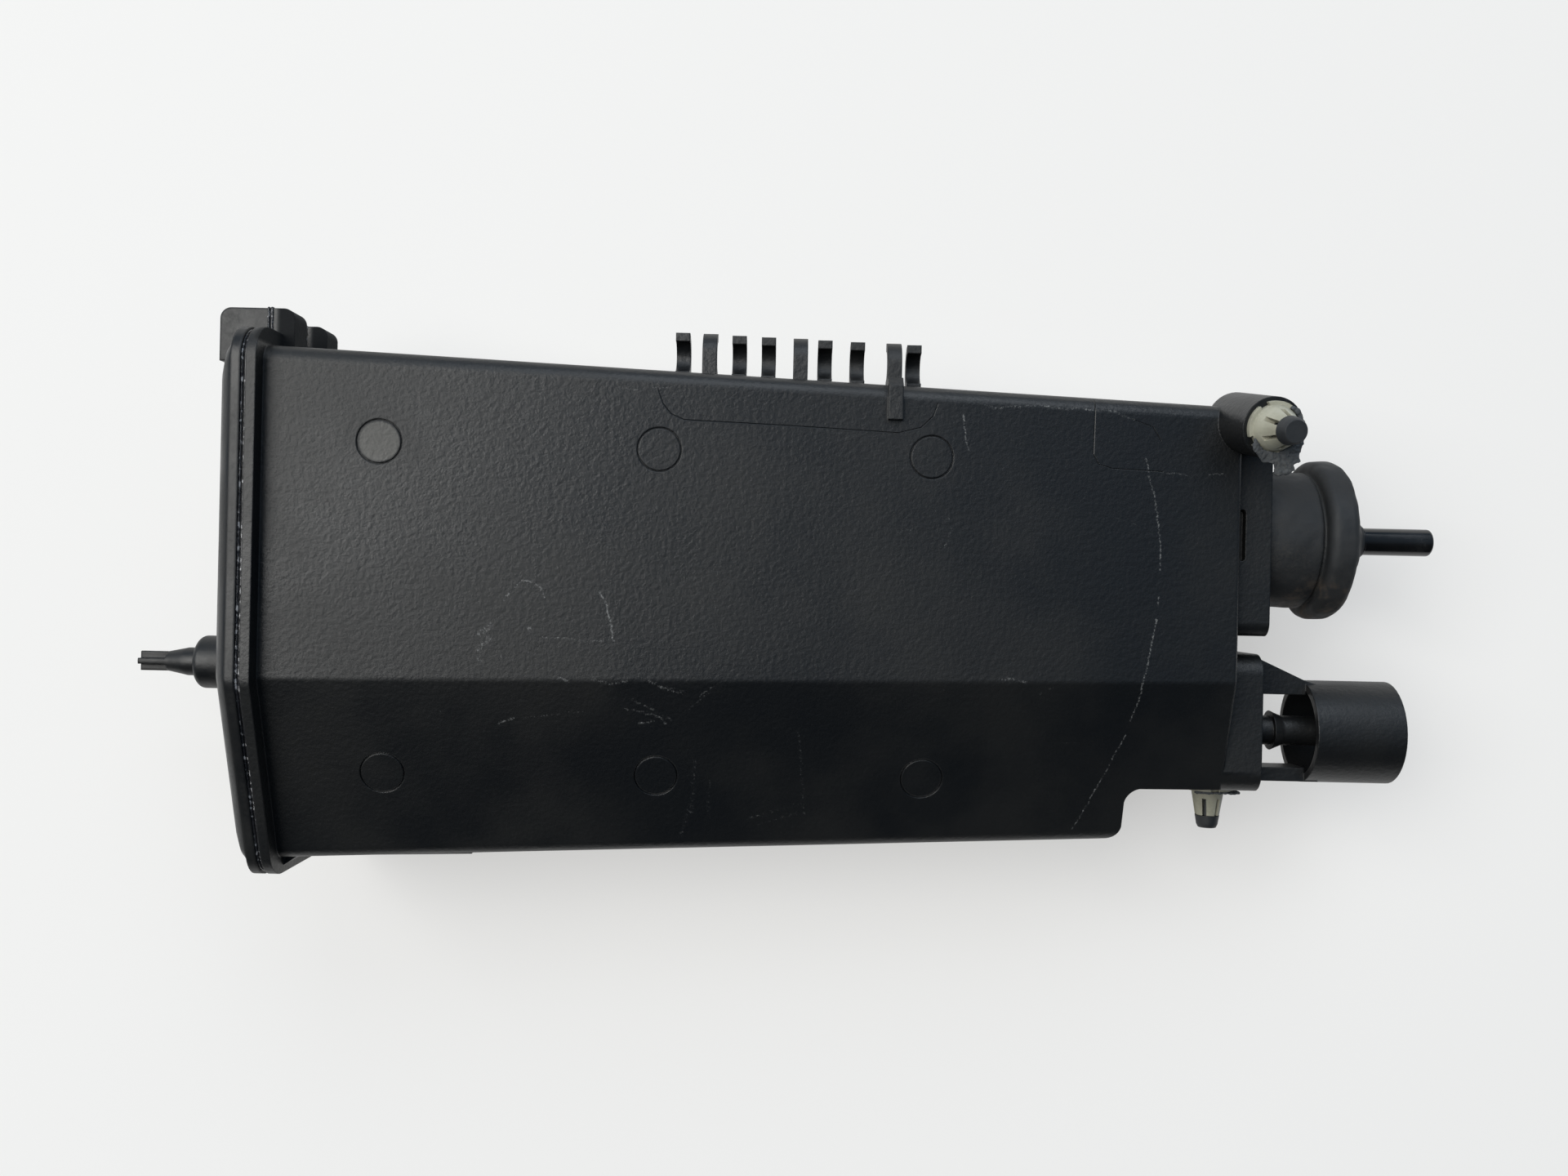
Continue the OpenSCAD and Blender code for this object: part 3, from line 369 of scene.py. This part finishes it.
def roundedNormal(tree, radius):
    bevel = addNode(tree, "Bevel", samples=6)
    bevel.inputs["Radius"].default_value = radius * mm
    return bevel.outputs["Normal"]


def bump(tree, height, strength, distance, normal=None):
    node = addNode(tree, "Bump")
    feed(tree, node.inputs["Height"], height)
    feed(tree, node.inputs["Strength"], strength)
    feed(tree, node.inputs["Distance"], distance * mm)
    feed(tree, node.inputs["Normal"], normal)
    return node.outputs["Normal"]


housingLook = {
    "black": (0.0020, 0.0029, 0.0040, 1),
    "faded": (0.0048, 0.0050, 0.0048, 1),
    "dust": (0.055, 0.052, 0.046, 1),
    "scratch": (0.20, 0.20, 0.195, 1),
    # colour of the painted sheen on that disc
    "discSheen": (0.075, 0.072, 0.064, 1),
    "insertLine": (0.002, 0.002, 0.002, 1),
    "dusty": 0.06,
    "dustScale": 22.0,
    "dustCover": 0.55,
    "discSheenShare": 0.8,
    "lineShare": 0.7,
    "lineDepth": 1.6,           # in heights of the grain
    "rough": (0.40, 0.50),
    "grain": 760.0,
    "grainDepth": 0.22,         # millimetres
    "grainBump": 0.6,
    "edgeRound": 0.5,
    "facing": (0.3, 0.6),       # how far a face turns to the front before it is marked
}


def makeHousingPlastic(look):
    material, tree, shader = startMaterial("housingPlastic")
    grain = place(tree, mouldedGrain, Scale=look["grain"])
    dust = place(tree, settledDust, Scale=look["dustScale"], Cover=look["dustCover"])["Mask"]
    spot = takeApart(tree, objectPoint(tree))
    flat = vectorMaths(tree, "MULTIPLY", objectPoint(tree), (1, 1, 0))
    wobble = noise(tree, flat, scratchWear["wobble"], 4.0, 0.7).outputs["Color"]
    stray = scratchWear["stray"] * mm
    shake = vectorMaths(tree, "MULTIPLY", vectorMaths(tree, "SUBTRACT", wobble, (0.5, 0.5, 0.5)), (stray, stray, 0))
    facing = takeApart(tree, addNode(tree, "NewGeometry").outputs["Normal"])
    front = mapRange(tree, facing["Z"], *look["facing"], 0.0, 1.0)

    canvas = vectorMaths(tree, "ADD", flat, shake)
    for strength, halfWidth, points in scratches.values():
        canvas = drawStroke(tree, canvas, points, halfWidth, strength)
    marks = drawnMask(tree, canvas)
    spots = noise(tree, flat, scratchWear["spots"], 4.0, 0.8).outputs["Fac"]
    spots = maths(tree, "SUBTRACT", spots, scratchWear["spotMiddle"])
    spots = maths(tree, "MULTIPLY", spots, maths(tree, "MULTIPLY", marks, scratchWear["spotFade"], clamp=True))
    marks = maths(tree, "MULTIPLY_ADD", spots, scratchWear["spotGain"], marks)
    marks = mapRange(tree, marks, *scratchWear["shown"], 0.0, scratchWear["most"])
    marks = maths(tree, "MULTIPLY", marks, front)

    canvas = flat
    for halfWidth, points in insertLines.values():
        canvas = drawStroke(tree, canvas, points, halfWidth)
    lines = maths(tree, "MULTIPLY", drawnMask(tree, canvas), front)

    # painted sheen: the disc turns lighter, partly a tone of its own
    centre = sheenDisc["centre"]
    disc = drawStroke(tree, flat, [centre, (centre[0] + 0.01, centre[1])], sheenDisc["radius"])
    discSheen = mapRange(tree, maths(tree, "MULTIPLY", drawnMask(tree, disc), front), *sheenDisc["rim"], 0.0, 1.0)

    colour = mixColour(tree, grain["Patches"], look["black"], look["faded"])
    colour = mixColour(tree, maths(tree, "MULTIPLY", dust, look["dusty"]), colour, look["dust"])
    colour = mixColour(tree, maths(tree, "MULTIPLY", discSheen, look["discSheenShare"]), colour, look["discSheen"])
    colour = mixColour(tree, maths(tree, "MULTIPLY", lines, look["lineShare"]), colour, look["insertLine"])
    colour = mixColour(tree, marks, colour, look["scratch"])
    feed(tree, shader["Base Color"], colour)

    dull = mapRange(tree, spot["X"], *inMetres(dullEar["x"]), 0.0, 1.0)
    dull = maths(tree, "MULTIPLY", dull, mapRange(tree, spot["Y"], *inMetres(dullEar["y"]), 0.0, 1.0))
    dull = maths(tree, "MULTIPLY", dull, mapRange(tree, spot["X"], *inMetres(dullEar["xEnd"]), 1.0, 0.0))
    rough = mapRange(tree, grain["Patches"], 0.0, 1.0, *look["rough"])
    feed(tree, shader["Roughness"], mapRange(tree, dull, 0.0, 1.0, rough, dullEar["rough"], smooth=False))
    height = maths(tree, "SUBTRACT", grain["Height"], maths(tree, "MULTIPLY", lines, look["lineDepth"]))
    feed(tree, shader["Normal"], bump(tree, height, look["grainBump"], look["grainDepth"],
                                      roundedNormal(tree, look["edgeRound"])))
    return material


plasticLooks = {
    "coverPlastic": {"colours": ((0.0024, 0.0032, 0.0042, 1), (0.0052, 0.0054, 0.0052, 1)), "rough": (0.40, 0.50),
                     "dust": (0.06, 0.056, 0.048, 1), "cover": 0.5, "dusty": 0.06, "grain": 900.0, "depth": 0.12,
                     "edgeRound": 0.9},
    # the weld flash's pale dust and pale specks are painted glints along the seam, partly pale crumbs of flash
    "weldFlash": {"colours": ((0.010, 0.011, 0.014, 1), (0.024, 0.024, 0.027, 1)), "rough": (0.18, 0.32),
                  "dust": (0.30, 0.30, 0.31, 1), "cover": 0.45, "dusty": 0.22, "grain": 900.0, "depth": 0.08,
                  "edgeRound": 0.1,
                  "paintedGlints": {"scale": 640.0, "edge": (0.56, 0.67), "share": 0.9, "colour": (0.38, 0.38, 0.39, 1)}},
    "bootRubber": {"colours": ((0.0095, 0.0110, 0.0128, 1), (0.0160, 0.0172, 0.0185, 1)), "rough": (0.58, 0.74),
                   "dust": (0.080, 0.070, 0.056, 1), "cover": 0.55, "dusty": 0.26, "grain": 1100.0, "depth": 0.08,
                   "edgeRound": 0.6,
                   "stain": {"across": (5.0, 13.0), "scale": 170.0, "edge": (0.44, 0.66), "share": 0.7,
                             "colour": (0.085, 0.064, 0.047, 1)}},
    "nipplePlastic": {"colours": ((0.004, 0.0042, 0.0045, 1), (0.006, 0.006, 0.0062, 1)), "rough": (0.10, 0.20),
                      "dust": (0.3, 0.3, 0.29, 1), "cover": 0.30, "dusty": 0.25, "grain": 300.0, "depth": 0.01,
                      "edgeRound": 0.3},
    "colletPlastic": {"colours": ((0.42, 0.41, 0.325, 1), (0.31, 0.30, 0.23, 1)), "rough": (0.38, 0.52),
                      "dust": (0.075, 0.068, 0.055, 1), "cover": 0.5, "dusty": 0.5, "grain": 700.0, "depth": 0.03,
                      "edgeRound": 0.25},
    "pinPlastic": {"colours": ((0.010, 0.012, 0.014, 1), (0.018, 0.020, 0.022, 1)), "rough": (0.42, 0.58),
                   "dust": (0.08, 0.08, 0.08, 1), "cover": 0.5, "dusty": 0.22, "grain": 900.0, "depth": 0.05,
                   "edgeRound": 0.25},
    "washerFoam": {"colours": ((0.040, 0.046, 0.052, 1), (0.080, 0.087, 0.095, 1)), "rough": (0.80, 0.95),
                   "dust": (0.16, 0.15, 0.13, 1), "cover": 0.55, "dusty": 0.4, "grain": 1800.0, "depth": 0.25,
                   "edgeRound": 0.2},
    "platePlastic": {"colours": ((0.045, 0.047, 0.050, 1), (0.060, 0.061, 0.063, 1)), "rough": (0.45, 0.6),
                     "dust": (0.02, 0.02, 0.02, 1), "cover": 0.5, "dusty": 0.4, "grain": 900.0, "depth": 0.05,
                     "edgeRound": 0.3},
    "filterFleece": {"colours": ((0.60, 0.58, 0.53, 1), (0.72, 0.70, 0.65, 1)), "rough": (0.88, 0.97),
                     "dust": (0.12, 0.12, 0.12, 1), "cover": 0.5, "dusty": 0.35, "grain": 2200.0, "depth": 0.4,
                     "edgeRound": 0.3},
    "packedCharcoal": {"colours": ((0.008, 0.008, 0.008, 1), (0.022, 0.022, 0.022, 1)), "rough": (0.80, 0.95),
                       "dust": (0.05, 0.05, 0.05, 1), "cover": 0.5, "dusty": 0.4, "grain": 420.0, "depth": 1.2,
                       "edgeRound": 0.5},
}

plasticFinish = {"patches": 60.0, "dustScale": 70.0, "dustRough": 0.15, "grainBump": 0.5}     # common to them all


def makePlastic(name, look):
    material, tree, shader = startMaterial(name)
    point = objectPoint(tree)
    grain = place(tree, mouldedGrain, Scale=look["grain"], **{"Patch Scale": plasticFinish["patches"]})
    dust = place(tree, settledDust, Scale=plasticFinish["dustScale"], Cover=look["cover"])["Mask"]
    colour = mixColour(tree, grain["Patches"], *look["colours"])
    colour = mixColour(tree, maths(tree, "MULTIPLY", dust, look["dusty"]), colour, look["dust"])
    if "stain" in look:         # dirt that gathers along the lower side
        stain = look["stain"]
        low = mapRange(tree, takeApart(tree, point)["Y"], *inMetres(stain["across"]), 1.0, 0.0)
        patchy = noise(tree, point, stain["scale"], 4.0, 0.65).outputs["Fac"]
        patchy = mapRange(tree, patchy, *stain["edge"], 0.0, stain["share"])
        colour = mixColour(tree, maths(tree, "MULTIPLY", low, patchy), colour, stain["colour"])
    if "paintedGlints" in look:        # pale specks painted along the flash as glints, partly pale crumbs of flash
        paintedGlints = look["paintedGlints"]
        glintSpots = noise(tree, point, paintedGlints["scale"], 1.0).outputs["Fac"]
        glintSpots = mapRange(tree, glintSpots, *paintedGlints["edge"], 0.0, paintedGlints["share"])
        colour = mixColour(tree, glintSpots, colour, paintedGlints["colour"])
    feed(tree, shader["Base Color"], colour)
    rough = mapRange(tree, grain["Patches"], 0.0, 1.0, *look["rough"])
    dustRough = maths(tree, "MULTIPLY", dust, plasticFinish["dustRough"])
    feed(tree, shader["Roughness"], maths(tree, "ADD", rough, dustRough, clamp=True))
    feed(tree, shader["Normal"], bump(tree, grain["Height"], plasticFinish["grainBump"], look["depth"],
                                      roundedNormal(tree, look["edgeRound"])))
    return material


springLook = {
    "bright": (0.52, 0.53, 0.54, 1),
    "dull": (0.36, 0.36, 0.36, 1),
    "rough": (0.25, 0.42),
    "grain": 1600.0,
    "patches": 120.0,
    "grainBump": 0.3,
    "depth": 0.02,
}


def makeSpringWire(look):
    material, tree, shader = startMaterial("springWire")
    shader["Metallic"].default_value = 1.0
    drawn = place(tree, mouldedGrain, Scale=look["grain"], **{"Patch Scale": look["patches"]})
    feed(tree, shader["Base Color"], mixColour(tree, drawn["Patches"], look["bright"], look["dull"]))
    feed(tree, shader["Roughness"], mapRange(tree, drawn["Patches"], 0.0, 1.0, *look["rough"]))
    feed(tree, shader["Normal"], bump(tree, drawn["Height"], look["grainBump"], look["depth"]))
    return material


materials = {name: makePlastic(name, look) for name, look in plasticLooks.items()}
materials["housingPlastic"] = makeHousingPlastic(housingLook)
materials["springWire"] = makeSpringWire(springLook)
print("materials made:", len(materials))


# dressed copies of the visible solids

dressing = {            # node: piece, material, slot, smoothing angle in degrees
    "housing": ("housingShell", "housingPlastic", "housing_plastic", 32),
    "end_cover": ("coverShell", "coverPlastic", "cover_plastic", 32),
    "rubber_boot": ("bootSleeve", "bootRubber", "boot_rubber", 50),
    "purge_nipple": ("nippleTube", "nipplePlastic", "nipple_plastic", 40),
    "upper_collet": ("upperColletShell", "colletPlastic", "collet_plastic", 32),
    "upper_pin": ("upperPinShell", "pinPlastic", "pin_plastic", 40),
    "lower_collet": ("lowerColletShell", "colletPlastic", "collet_plastic", 32),
    "lower_pin": ("lowerPinShell", "pinPlastic", "pin_plastic", 40),
    "upper_washer": ("upperTornWasher", "washerFoam", "washer_foam", 60),
    "lower_washer": ("lowerTornWasher", "washerFoam", "washer_foam", 60),
}

meshClean = {
    "mergeWithin": 1e-6,        # metres
    "flatWithin": 0.4,          # degrees
    "normalWeight": 90,         # how far large faces lead the normals
}


def useMaterial(piece, name):
    piece.data.materials.clear()
    piece.data.materials.append(materials[name])


def applyModifier(piece, kind, **settings):
    modifier = piece.modifiers.new(kind.lower(), kind)
    for name, value in settings.items():
        setattr(modifier, name, value)
    bpy.ops.object.modifier_apply(modifier=modifier.name)


def mergeDoubles():
    bpy.ops.object.mode_set(mode="EDIT")
    bpy.ops.mesh.select_all(action="SELECT")
    bpy.ops.mesh.remove_doubles(threshold=meshClean["mergeWithin"])


def copyNode(nodeName, pieceName):
    bpy.ops.object.select_all(action="DESELECT")
    source = frame["nodes"][nodeName]
    source.select_set(True)
    bpy.context.view_layer.objects.active = source
    bpy.ops.object.duplicate()
    piece = bpy.context.active_object
    piece.name = pieceName
    piece.data.name = pieceName
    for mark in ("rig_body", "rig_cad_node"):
        del piece[mark]
    bpy.ops.mesh.customdata_custom_splitnormals_clear()     # the loaded normals no longer fit once faces merge
    mergeDoubles()
    bpy.ops.mesh.dissolve_limited(angle_limit=math.radians(meshClean["flatWithin"]))
    bpy.ops.object.mode_set(mode="OBJECT")
    return piece


def roughen(piece, unevenness):
    for cell, height in unevenness:
        texture = bpy.data.textures.new(piece.name + "Wear", "CLOUDS")
        texture.noise_scale = cell * mm
        texture.noise_depth = 2
        applyModifier(piece, "DISPLACE", texture=texture, strength=height * mm, mid_level=0.5)


softForm = {            # node: voxel, then cell and height of each unevenness, in millimetres
    "upper_washer": (0.22, ((2.2, 1.1), (0.6, 0.5))),
    "lower_washer": (0.22, ((2.2, 1.1), (0.6, 0.5))),
    "rubber_boot": (0.4, ((11.0, 0.7), (2.5, 0.12))),
}


def soften(piece, nodeName):
    voxel, unevenness = softForm[nodeName]
    applyModifier(piece, "REMESH", mode="VOXEL", voxel_size=voxel * mm)
    applyModifier(piece, "SMOOTH", factor=0.5, iterations=3)
    roughen(piece, unevenness)


# flash that the weld pressed out of the seam, one ridge on each side

seamFlash = {
    "ridges": {"housing": -141.05, "end_cover": -142.03},    # x of each, in millimetres
    "thick": 0.36,
    "step": 0.4,
    "halvings": 8,
    "ringSteps": 2,
    "wander": ((1.4, 0.30), (0.5, 0.26)),                    # cell and height
}


def layFlash(nodeName, x):
    ridge = copyNode(nodeName, nodeName.split("_")[-1] + "Flash")
    bpy.ops.object.mode_set(mode="EDIT")
    bpy.ops.mesh.select_mode(type="VERT")
    bpy.ops.mesh.select_all(action="SELECT")
    bpy.ops.mesh.bisect(plane_co=(x * mm, 0, 0), plane_no=(1, 0, 0), clear_inner=True, clear_outer=True)
    bpy.ops.mesh.select_all(action="DESELECT")
    bpy.ops.object.mode_set(mode="OBJECT")
    max(ridge.data.vertices, key=lambda corner: corner.co.z).select = True
    bpy.ops.object.mode_set(mode="EDIT")
    bpy.ops.mesh.select_linked()
    bpy.ops.mesh.select_all(action="INVERT")
    bpy.ops.mesh.delete(type="VERT")
    bpy.ops.mesh.select_mode(type="EDGE")
    for halving in range(seamFlash["halvings"]):
        bpy.ops.object.mode_set(mode="OBJECT")
        corners = ridge.data.vertices
        for edge in ridge.data.edges:
            first, second = (corners[index].co for index in edge.vertices)
            edge.select = (first - second).length > seamFlash["step"] * mm
        bpy.ops.object.mode_set(mode="EDIT")
        bpy.ops.mesh.subdivide()
    bpy.ops.mesh.select_mode(type="VERT")
    bpy.ops.object.mode_set(mode="OBJECT")
    bpy.ops.object.convert(target="CURVE")
    ridge = bpy.context.active_object
    ridge.data.bevel_depth = seamFlash["thick"] * mm
    ridge.data.bevel_resolution = seamFlash["ringSteps"]
    bpy.ops.object.convert(target="MESH")
    ridge = bpy.context.active_object
    mergeDoubles()
    bpy.ops.mesh.normals_make_consistent(inside=False)
    bpy.ops.object.mode_set(mode="OBJECT")
    roughen(ridge, seamFlash["wander"])
    bpy.ops.object.shade_smooth()
    useMaterial(ridge, "weldFlash")
    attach(ridge, "root")
    print("flash laid on", nodeName, len(ridge.data.polygons))


for nodeName, x in seamFlash["ridges"].items():
    layFlash(nodeName, x)


# the dressed copies stand in for their solids

for nodeName, (pieceName, materialName, slotName, angle) in dressing.items():
    piece = copyNode(nodeName, pieceName)
    if nodeName in softForm:
        soften(piece, nodeName)
    bpy.ops.object.shade_smooth_by_angle(angle=math.radians(angle))
    applyModifier(piece, "WEIGHTED_NORMAL", keep_sharp=True, weight=meshClean["normalWeight"])
    useMaterial(piece, materialName)
    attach(piece, "root")
    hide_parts(nodeName)
print("dressed copies:", len(dressing))


# inner solids keep their own meshes

innerLooks = {
    "filterFleece": ("upper_port_fleece", "lower_port_fleece", "upper_cover_fleece", "lower_cover_fleece"),
    "packedCharcoal": ("upper_charcoal", "lower_charcoal"),
    "platePlastic": ("upper_plate", "lower_plate"),
    "springWire": ("upper_front_spring", "upper_back_spring", "lower_spring"),
}

for materialName, nodeNames in innerLooks.items():
    for nodeName in nodeNames:
        useMaterial(frame["nodes"][nodeName], materialName)
print("inner solids finished")


# floor

floorLook = {
    "size": 14.0,
    "below": 0.2,
    "colour": (0.86, 0.855, 0.84, 1),
    "rough": 0.8,
    "seen": (0.915, 0.905, 0.885, 1),     # what cameras and reflections see of it, beside the light on it
    "seenShare": 0.55,
}

bpy.ops.object.select_all(action="DESELECT")
bpy.ops.mesh.primitive_plane_add(size=floorLook["size"], location=(0, 0, -floorLook["below"] * mm))
floor = bpy.context.active_object
floor.name = "floor"
bpy.ops.object.transform_apply(location=True, rotation=True, scale=True)
floorMaterial, floorTree, floorShader = startMaterial("paleFloor")
floorShader["Base Color"].default_value = floorLook["colour"]
floorShader["Roughness"].default_value = floorLook["rough"]
glow = addNode(floorTree, "Emission")
glow.inputs["Color"].default_value = floorLook["seen"]
rays = addNode(floorTree, "LightPath").outputs
seen = maths(floorTree, "MAXIMUM", rays["Is Camera Ray"],
             maths(floorTree, "MAXIMUM", rays["Is Glossy Ray"], rays["Is Transmission Ray"]))
blend = addNode(floorTree, "MixShader")
feed(floorTree, blend.inputs["Fac"], maths(floorTree, "MULTIPLY", seen, floorLook["seenShare"]))
feed(floorTree, blend.inputs[1], floorTree.nodes["Principled BSDF"].outputs["BSDF"])
feed(floorTree, blend.inputs[2], glow.outputs["Emission"])
feed(floorTree, floorTree.nodes["Material Output"].inputs["Surface"], blend.outputs["Shader"])
floor.data.materials.append(floorMaterial)
print("floor laid")
